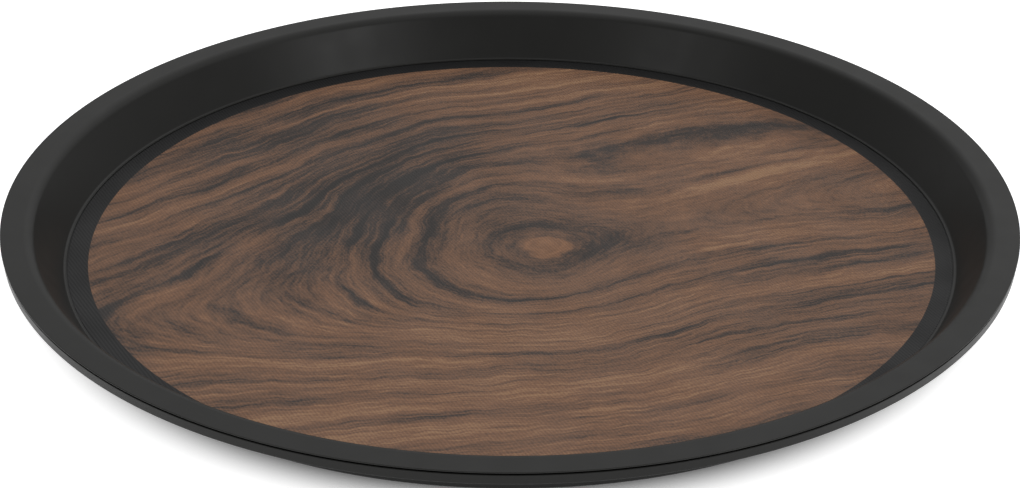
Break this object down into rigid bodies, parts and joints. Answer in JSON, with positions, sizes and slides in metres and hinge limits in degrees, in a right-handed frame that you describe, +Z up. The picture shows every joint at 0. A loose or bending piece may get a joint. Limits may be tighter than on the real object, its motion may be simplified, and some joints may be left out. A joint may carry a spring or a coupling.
{
  "type": "round serving tray",
  "caption": "Round black plastic serving tray with a sloping wall, a flat rim flange and a printed wood-look anti-slip floor.",
  "frame": {"origin": "centre of the face the tray rests on, the underside of the rubber foot ring", "axes": "+Z up through the middle of the tray, +X to the right and +Y away from the viewer across the wood grain's eye"},
  "size_m": [0.356, 0.356, 0.0195],
  "materials": {
    "pan_plastic": "black moulded plastic, fine satin grain",
    "frame_plastic": "black moulded plastic, satin, slightly smoother than the pan",
    "wood_print": "printed dark walnut with a knot and growth rings",
    "grip_skin": "clear vinyl with fine diagonal ribs, satin, shows the print and the black pan under it",
    "hoop_steel": "drawn wire, bright zinc",
    "foot_rubber": "matt black rubber"
  },
  "bodies": {
    "root": {"base_pan": "pan_plastic", "frame_ring": "frame_plastic", "print_disc": "wood_print", "grip_overlay": "grip_skin", "rim_hoop": "hoop_steel", "foot_ring": "foot_rubber"}
  },
  "joints": []
}
